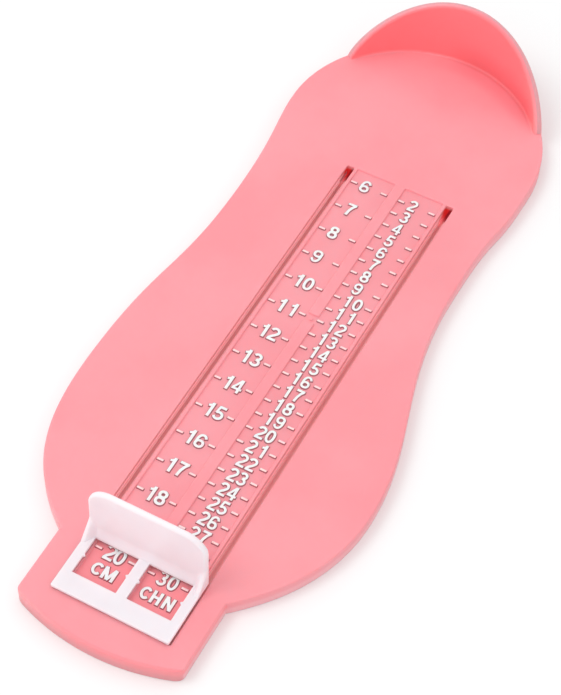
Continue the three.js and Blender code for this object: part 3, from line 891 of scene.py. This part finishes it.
def windings(point, loop):
    count = 0
    for index, end in enumerate(loop):
        start = loop[index - 1]
        if (start.y <= point.y) != (end.y <= point.y):
            side = (end - start).cross(point - start)
            if (side > 0) == (end.y > start.y):
                count += 1 if end.y > start.y else -1
    return count


def insideStroke(point, loops):
    return windings(point, loops[0]) != 0 and (len(loops) == 1 or windings(point, loops[1]) == 0)


def signFace(name):
    # the union of the sign's strokes, as corners and triangles
    strokes = [strokeLoops(stroke) for stroke in signs[name]]
    corners, edges = [], []
    for loop in [loop for loops in strokes for loop in loops]:
        first = len(corners)
        corners += loop
        edges += [(first + index, first + (index + 1) % len(loop)) for index in range(len(loop))]
    found = delaunay_2d_cdt(corners, edges, [], 0, tiny, False)
    points, triangles = found[0], []
    for triangle in found[2]:
        centre = sum((points[index] for index in triangle), Vector((0, 0))) / 3
        if any(insideStroke(centre, loops) for loops in strokes):
            triangles.append(triangle)
    return points, triangles


def turningOf(following, points):
    # above 0 at the points of an outer line, below 0 round a counter
    turning = {}
    for start in following:
        if start not in turning:
            loop = [start]
            while following[loop[-1]] != start:
                loop.append(following[loop[-1]])
            area = sum(points[index].cross(points[following[index]]) for index in loop)
            turning.update({index: area for index in loop})
    return turning


def addRaised(shell, points, triangles):
    # a face stands up from the field, with drafted sides and a small shoulder
    edges = {(triangle[index - 1], triangle[index]) for triangle in triangles for index in range(3)}
    following = {start: end for start, end in edges if (end, start) not in edges}
    before = {end: start for start, end in following.items()}
    turning = turningOf(following, points)
    levels = ((raised["topInset"], "top"), (0.0, "shoulder"), (-raised["draft"], "root"))
    rings = []
    for inset, level in levels:
        ring = {}
        for index in {index for triangle in triangles for index in triangle}:
            moved = points[index]
            if index in following:
                reach = -raised["counterDraft"] if inset < 0 and turning[index] < 0 else inset
                ends = points[before[index]], moved, points[following[index]]
                moved = shifted(*ends, reach, raised["mostStretch"])
            ring[index] = len(shell.points)
            shell.points.append(Vector((moved.x, moved.y, raised[level])))
        rings.append(ring)
    for start, end in following.items():
        for upper, lower in zip(rings, rings[1:]):
            shell.faces.append((lower[start], lower[end], upper[end], upper[start]))
    for triangle in triangles:
        shell.faces.append([rings[0][index] for index in triangle])
        shell.faces.append([rings[-1][index] for index in reversed(triangle)])


def addSign(shell, name, x, y, capHeight, width):
    points, triangles = signFaces[name]
    cell = cellWidths.get(name, digitWidth)
    places = [(x + (point.x / cell - 0.5) * width, y + (point.y - 0.5) * capHeight) for point in points]
    addRaised(shell, [Vector(place) for place in places], triangles)


signFaces = {name: signFace(name) for name in signs}

centimetres = {
    "numbers": range(6, 21), "zero": 0, "pitch": 10.0, "tens": -9.2, "ones": -6.25,
    "height": 4.6, "width": 2.9, "ticksAt": -12.45, "tickDistance": 9.55,
}
sizes = {
    "numbers": range(2, 31), "zero": 10, "pitch": 5.0, "tens": 6.0, "ones": 8.95,
    "height": 4.25, "width": 2.55, "ticksAt": 2.68, "tickDistance": 9.6,
}
labels = [
    {"text": "CM", "centres": (-9.5, -6.1), "widths": (3.05, 3.67), "middle": -205.45, "height": 3.6},
    {
        "text": "CHN", "centres": (4.42, 7.4, 10.85), "widths": (2.85, 2.7, 2.8), "middle": -205.5,
        "height": 3.65,
    },
]
# how far single digits, a last 1 or 7 and a leading 2 stand further right than their column
nudges = {"single": 0.35, "last": {"1": 0.55, "7": 0.2}, "leading": {"2": 0.2}}


def signPlaces(digits, scale):
    if len(digits) == 1:
        return [(digits, scale["tens"] + nudges["single"] + nudges["last"].get(digits, 0))]
    leading, last = digits
    return [
        (leading, scale["tens"] + nudges["leading"].get(leading, 0)),
        (last, scale["ones"] + nudges["last"].get(last, 0)),
    ]


def markPlace(number, scale):
    return -(number + scale["zero"]) * scale["pitch"]


def buildNumerals():
    shell = Shell()
    for scale in (centimetres, sizes):
        for number in scale["numbers"]:
            for sign, x in signPlaces(str(number), scale):
                addSign(shell, sign, x, markPlace(number, scale), scale["height"], scale["width"])
    for label in labels:
        for sign, x, width in zip(label["text"], label["centres"], label["widths"]):
            addSign(shell, sign, x, label["middle"], label["height"], width)
    numerals = addToScene("scaleNumerals", shell.mesh("scaleNumerals"))
    return smoothPiece(numerals, foiledPlastic("foiledSigns", signFoil), raised["creaseAngle"])


tick = {"length": 1.9, "width": 0.6, "cornerRadius": 0.12, "cornerSteps": 3}


def tickPattern():
    shell = Shell()
    length, width = tick["length"] / 2, tick["width"] / 2
    corners = rectangle(-length, length, -width, width)
    outline = roundCorners(corners, tick["cornerRadius"], tick["cornerSteps"])
    shell.loft([
        shell.ring(offsetRing(outline, -raised["draft"]), raised["root"]),
        shell.ring(outline, raised["shoulder"]),
        shell.ring(offsetRing(outline, raised["topInset"]), raised["top"]),
    ])
    pattern = addToScene("tickPattern", shell.mesh("tickPattern"))
    smoothPiece(pattern, foiledPlastic("foiledTicks", tickFoil), raised["creaseAngle"]).modifiers.clear()
    pattern.data.transform(Matrix.Translation(-scaleOrigin * millimetre))
    return pattern


def tickTree():
    # rows of one tick along the scale, in two columns
    tree = bpy.data.node_groups.new("scaleTicks", "GeometryNodeTree")
    inputs = {
        "Tick": "NodeSocketObject", "Rows": "NodeSocketInt", "Row pitch": "NodeSocketFloat",
        "Column distance": "NodeSocketFloat", "First tick": "NodeSocketVector", "Finish": "NodeSocketMaterial",
    }
    for name, kind in inputs.items():
        tree.interface.new_socket(name, in_out="INPUT", socket_type=kind)
    tree.interface.new_socket("Geometry", in_out="OUTPUT", socket_type="NodeSocketGeometry")

    def node(kind, sockets, **settings):
        return addNode(tree, kind, settings, sockets)[0]

    given = addNode(tree, "NodeGroupInput", {}, {})
    rowStep = node("ShaderNodeMath", {0: given["Row pitch"], 1: -1.0}, operation="MULTIPLY")
    downwards = node("ShaderNodeCombineXYZ", {"Y": rowStep})
    sideways = node("ShaderNodeCombineXYZ", {"X": given["Column distance"]})
    rows = node("GeometryNodeMeshLine", {"Count": given["Rows"], "Offset": downwards})
    starts = {"Count": 2, "Start Location": given["First tick"], "Offset": sideways}
    columns = node("GeometryNodeMeshLine", starts)
    columnRows = node("GeometryNodeInstanceOnPoints", {"Points": columns, "Instance": rows})
    places = node("GeometryNodeRealizeInstances", {"Geometry": columnRows})
    pattern = addNode(tree, "GeometryNodeObjectInfo", {}, {"Object": given["Tick"]})["Geometry"]
    ticks = node("GeometryNodeInstanceOnPoints", {"Points": places, "Instance": pattern})
    solid = node("GeometryNodeRealizeInstances", {"Geometry": ticks})
    finished = node("GeometryNodeSetMaterial", {"Geometry": solid, "Material": given["Finish"]})
    addNode(tree, "NodeGroupOutput", {}, {"Geometry": finished})
    return tree


def buildTicks(name, tree, pattern, scale):
    carrier = addToScene(name + "Carrier", bpy.data.meshes.new(name + "Carrier"))
    modifier = carrier.modifiers.new("ticks", "NODES")
    modifier.node_group = tree
    first = Vector((scale["ticksAt"], markPlace(scale["numbers"][0], scale), 0.0))
    values = {
        "Tick": pattern,
        "Rows": len(scale["numbers"]),
        "Row pitch": scale["pitch"] * millimetre,
        "Column distance": scale["tickDistance"] * millimetre,
        "First tick": (first + scaleOrigin) * millimetre,
        "Finish": pattern.data.materials[0],
    }
    for socket in tree.interface.items_tree:
        if socket.in_out == "INPUT":
            modifier[socket.identifier] = values[socket.name]
    evaluated = carrier.evaluated_get(bpy.context.evaluated_depsgraph_get())
    ticks = addToScene(name, bpy.data.meshes.new_from_object(evaluated))
    bpy.data.objects.remove(carrier)
    return ticks


scaleNumerals = buildNumerals()
ticksTree, oneTick = tickTree(), tickPattern()
centimetreTicks = buildTicks("centimetreTicks", ticksTree, oneTick, centimetres)
sizeTicks = buildTicks("sizeTicks", ticksTree, oneTick, sizes)
bpy.data.objects.remove(oneTick)
for marking in (scaleNumerals, centimetreTicks, sizeTicks):
    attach(marking, "board")
print("scales are raised and foiled")


# Toe stop

slider = {
    "underside": 5.25, "top": 6.25, "halfWidth": 16.75, "edgeRadius": 0.2, "cornerRadius": 0.4,
    "face": -195.3, "end": -215.6, "windowStart": -198.7, "windowEnd": -209.9,
    "windowInner": 1.5, "windowOuter": 14.05, "pointer": -204.4, "pointerReach": 0.6, "pointerHalf": 0.5,
    "windowEdgeRadius": 0.1, "windowCornerRadius": 0.16, "windowCornerSteps": 3,
    "edgeSteps": 3, "cornerSteps": 5,
}
stop = {
    "thickness": 2.3, "draft": 0.6, "top": 24.4, "cornerRadius": 6.6, "cornerSteps": 14,
    "edgeRadius": 0.9, "edgeSteps": 8, "leastFullness": 0.02, "rimSteps": 10, "backSteps": 4,
    "footHeight": 3.4, "footReach": 1.05, "footBow": 2.0, "footSteps": 12,
    "gussetRise": 12.0, "gussetReach": 6.1, "gussetHeight": 5.35, "gussetInner": 14.05, "gussetOuter": 15.9,
    "bowLoss": 0.85, "rootDepth": 0.4, "rootHeight": 0.3,
    "stations": (14.4, 14.8, 15.2, 13.5, 13.0, 12.5, 12.0, 6.0, 2.0, 0.0),
}
legs = {
    "length": 5.0, "thickness": 0.9, "outer": 16.3, "starts": (-200.4, -209.9), "snapReach": 1.6,
    "snapTop": 2.75, "snapBottom": 1.45, "lead": 0.7, "edge": 0.15, "edgeSteps": 2, "rootHeight": 0.4,
}
# where painted shade and painted light go on the slider, in millimetres of the frame
underShadow = {"height": (5.38, 5.54), "until": (17.9, 18.1), "shade": tint(150, 58, 66)}
sideLight = {"from": (18.26, 18.34), "height": (5.9, 6.2), "glow": (0.22, 0.08, 0.09, 1.0)}


def stopPlastic():
    # white, with a painted dark red line low on the frame, painted shadow and painted reflection of the board,
    # and a faint painted pink glow low on its right side
    finish = Finish("whiteMoulding")
    sockets = plasticSockets(finish, whiteAbs)
    x, z = finish.axis("X"), finish.axis("Z")
    inUnderShadow = z.under(underShadow["height"]) * x.under(underShadow["until"])
    atSide = z.under(sideLight["height"]) * x.over(sideLight["from"])
    # painted shadow and reflection line low on the frame
    sockets["Base Color"] = finish.blend(inUnderShadow, sockets["Base Color"], underShadow["shade"])
    # painted pink glow low on the right side wall
    sockets["Emission Color"] = finish.blend(atSide, black, sideLight["glow"])
    return finish.surface(sockets)


def windowOutline(sign):
    inner, outer = slider["windowInner"], slider["windowOuter"]
    low, high, middle = slider["windowEnd"], slider["windowStart"], slider["pointer"]
    half, reach = slider["pointerHalf"], slider["pointerReach"]
    outline = [
        (inner, low), (outer, low), (outer, middle - half), (outer - reach, middle), (outer, middle + half),
        (outer, high), (inner, high), (inner, middle + half), (inner + reach, middle), (inner, middle - half),
    ]
    outline = outline if sign > 0 else mirrored(outline)
    return roundCorners(outline, slider["windowCornerRadius"], slider["windowCornerSteps"])


def plateRings(shell, outline, direction, radius):
    # both edges rounded, from the underside to the top
    steps = slider["edgeSteps"]
    lower = []
    for step in range(steps + 1):
        turn = quarter * step / steps
        moved = offsetRing(outline, direction * radius * (1 - math.sin(turn)))
        lower.append(shell.ring(moved, slider["underside"] + radius * (1 - math.cos(turn))))
    upper = roundedRim(shell, outline, slider["top"] - radius, slider["top"], radius, direction, steps)
    shell.bands(lower + [upper[0]])
    return lower[0], upper[-1]


def buildFrame():
    shell = Shell()
    middle = slider["face"] - stop["thickness"] / 2
    half = slider["halfWidth"]
    corners = rectangle(-half, half, slider["end"], middle)
    outline = roundCorners(corners, slider["cornerRadius"], slider["cornerSteps"])
    below, above = plateRings(shell, outline, 1, slider["edgeRadius"])
    radius = slider["windowEdgeRadius"]
    windows = [plateRings(shell, windowOutline(sign), -1, radius) for sign in (-1, 1)]
    shell.flat(below, [window[0] for window in windows])
    shell.flat(above, [window[1] for window in windows])
    return shell


def easeBetween(value, low, high):
    share = min(max((value - low) / (high - low), 0.0), 1.0)
    return share * share * (3 - 2 * share)


def stopSection(x):
    # one slice of the stop, seen from the side: up its front, over the rim and down the back to the foot
    across = abs(x)
    top, low = stop["top"], slider["top"]
    edge = (across - (slider["halfWidth"] - stop["edgeRadius"])) / stop["edgeRadius"]
    fullness = math.sqrt(max(1 - max(edge, 0.0) ** 2, stop["leastFullness"]))
    corner = across - (slider["halfWidth"] - stop["cornerRadius"])
    if corner > 0:
        top -= stop["cornerRadius"] - math.sqrt(max(stop["cornerRadius"] ** 2 - corner ** 2, 0.0))
    onRail = easeBetween(across, stop["gussetInner"], stop["gussetOuter"])
    rising = easeBetween(across, stop["gussetRise"], stop["gussetOuter"])
    footHeight = stop["footHeight"] + (stop["gussetHeight"] - stop["footHeight"]) * rising
    plainReach = stop["thickness"] + stop["footReach"]
    footReach = plainReach + (stop["gussetReach"] - plainReach) * onRail
    bow = stop["footBow"] - stop["bowLoss"] * onRail

    def wall(height, side):
        thickness = stop["thickness"] - stop["draft"] * (height - low) / (stop["top"] - low)
        return thickness / 2 * (1 + side * fullness)

    def point(depth, height):
        return Vector((x, slider["face"] - depth, height))

    rimRadius = wall(top, 1) / 2 - wall(top, -1) / 2
    rimBase = top - rimRadius
    section = [point(wall(slider["underside"], -1), slider["underside"])]
    section += [point(wall(height, -1), height) for height in (low, (low + rimBase) / 2, rimBase)]
    for step in range(1, stop["rimSteps"]):
        turn = math.pi * step / stop["rimSteps"]
        depth = wall(rimBase, -1) + rimRadius * (1 - math.cos(turn))
        section.append(point(depth, rimBase + rimRadius * math.sin(turn)))
    for step in range(stop["backSteps"]):
        height = rimBase + (low + footHeight - rimBase) * step / stop["backSteps"]
        section.append(point(wall(height, 1), height))
    for step in range(stop["footSteps"] + 1):
        rise = footHeight * (1 - step / stop["footSteps"])
        depth = wall(low + rise, 1)
        section.append(point(depth + (footReach - depth) * (1 - rise / footHeight) ** bow, low + rise))
    section.append(point(footReach, low - stop["rootDepth"]))
    section.append(point(stop["thickness"] / 2, slider["underside"] + stop["rootHeight"]))
    return section


def buildStop():
    shell = Shell()
    half = slider["halfWidth"]
    stations = [stop["gussetInner"], *stop["stations"]]
    for kind in ("edge", "corner"):
        radius, steps = stop[kind + "Radius"], stop[kind + "Steps"]
        stations += [half - radius * (1 - math.sin(quarter * step / steps)) for step in range(steps + 1)]
    kept = sorted({round(station, 4) for station in stations}, reverse=True)
    places = kept + [-station for station in reversed(kept) if station]
    shell.loft([shell.row(stopSection(x)) for x in places])
    return shell


def legShells():
    outer, bottom, edge = legs["outer"], legs["snapBottom"], legs["edge"]
    inner, tip = outer - legs["thickness"], outer + legs["snapReach"]
    high = slider["underside"] + legs["rootHeight"]
    outline = roundCorners([
        (inner, bottom), (tip - legs["lead"], bottom), (tip, bottom + legs["lead"]), (tip, legs["snapTop"]),
        (outer, legs["snapTop"]), (outer, high), (inner, high),
    ], edge, legs["edgeSteps"])
    slices = ((0.0, edge), (edge, 0.0), (legs["length"] - edge, 0.0), (legs["length"], edge))
    shells = []
    for sign in (-1, 1):
        for start in legs["starts"]:
            shell, rings = Shell(), []
            for depth, inset in slices:
                ring = offsetRing(outline, inset)
                rings.append(shell.row([Vector((sign * point.x, start - depth, point.y)) for point in ring]))
            shell.loft(rings)
            shells.append(shell)
    return shells


toeStop = weld("toeStop", [buildFrame(), buildStop(), *legShells()], stopPlastic(), creaseAngle=40)
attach(toeStop, "toe_stop")
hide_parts("slider")
print("toe stop is moulded")


# Floor, light and camera, in metres

studio = {
    "floorSize": 4.0, "floorShade": (0.85, 0.87, 0.87, 1.0), "floorGlow": 0.07,
    "skyShade": (1.0, 1.0, 1.0, 1.0), "skyStrength": 0.94,
    "keyPlace": Vector((-0.55, -0.35, 1.0)), "keySize": 0.55, "keyPower": 3.2,
    "sensorWidth": 36.0, "focalLength": 97.65,  # these two are in millimetres
    "cameraPlace": Vector((0.135795, -0.28578, 0.40964)),
    "cameraRight": Vector((0.87985162, 0.47464955, 0.02385243)),
    "cameraUp": Vector((-0.39151747, 0.69547243, 0.6025215)),
}


def buildFloor():
    # the camera sees the floor a little brighter than its light makes it
    finish = Finish("paleFloor")
    seen = finish.node("ShaderNodeLightPath", {}, {}, "Is Camera Ray")
    plain = finish.node("ShaderNodeBsdfDiffuse", {}, {"Color": studio["floorShade"]})
    glow = finish.node("ShaderNodeEmission", {}, {"Strength": studio["floorGlow"]})
    lifted = finish.node("ShaderNodeAddShader", {}, {0: plain, 1: glow})
    half = studio["floorSize"] / 2
    mesh = bpy.data.meshes.new("studioFloor")
    mesh.from_pydata([corner.to_3d() for corner in rectangle(-half, half, -half, half)], [], [(0, 1, 2, 3)])
    mesh.materials.append(finish.show(finish.node("ShaderNodeMixShader", {}, {0: seen, 1: plain, 2: lifted})))
    addToScene("studioFloor", mesh)


def buildLight():
    world = bpy.data.worlds.new("paleRoom")
    world.use_nodes = True
    sky = world.node_tree.nodes["Background"].inputs
    sky["Color"].default_value, sky["Strength"].default_value = studio["skyShade"], studio["skyStrength"]
    bpy.context.scene.world = world
    lamp = bpy.data.lights.new("softKey", "AREA")
    lamp.size, lamp.energy = studio["keySize"], studio["keyPower"]
    key = addToScene("softKey", lamp)
    key.location = studio["keyPlace"]
    key.rotation_euler = studio["keyPlace"].to_track_quat("Z", "Y").to_euler()


def buildCamera():
    lens = bpy.data.cameras.new("photoView")
    lens.sensor_width, lens.lens = studio["sensorWidth"], studio["focalLength"]
    right, up = studio["cameraRight"], studio["cameraUp"]
    turn = Matrix((right, up, right.cross(up))).transposed().to_4x4()
    camera = addToScene("photoView", lens)
    camera.matrix_world = Matrix.Translation(studio["cameraPlace"]) @ turn
    bpy.context.scene.camera = camera


buildFloor()
buildLight()
buildCamera()
bpy.context.scene.view_settings.view_transform = "Standard"
print("studio is lit")
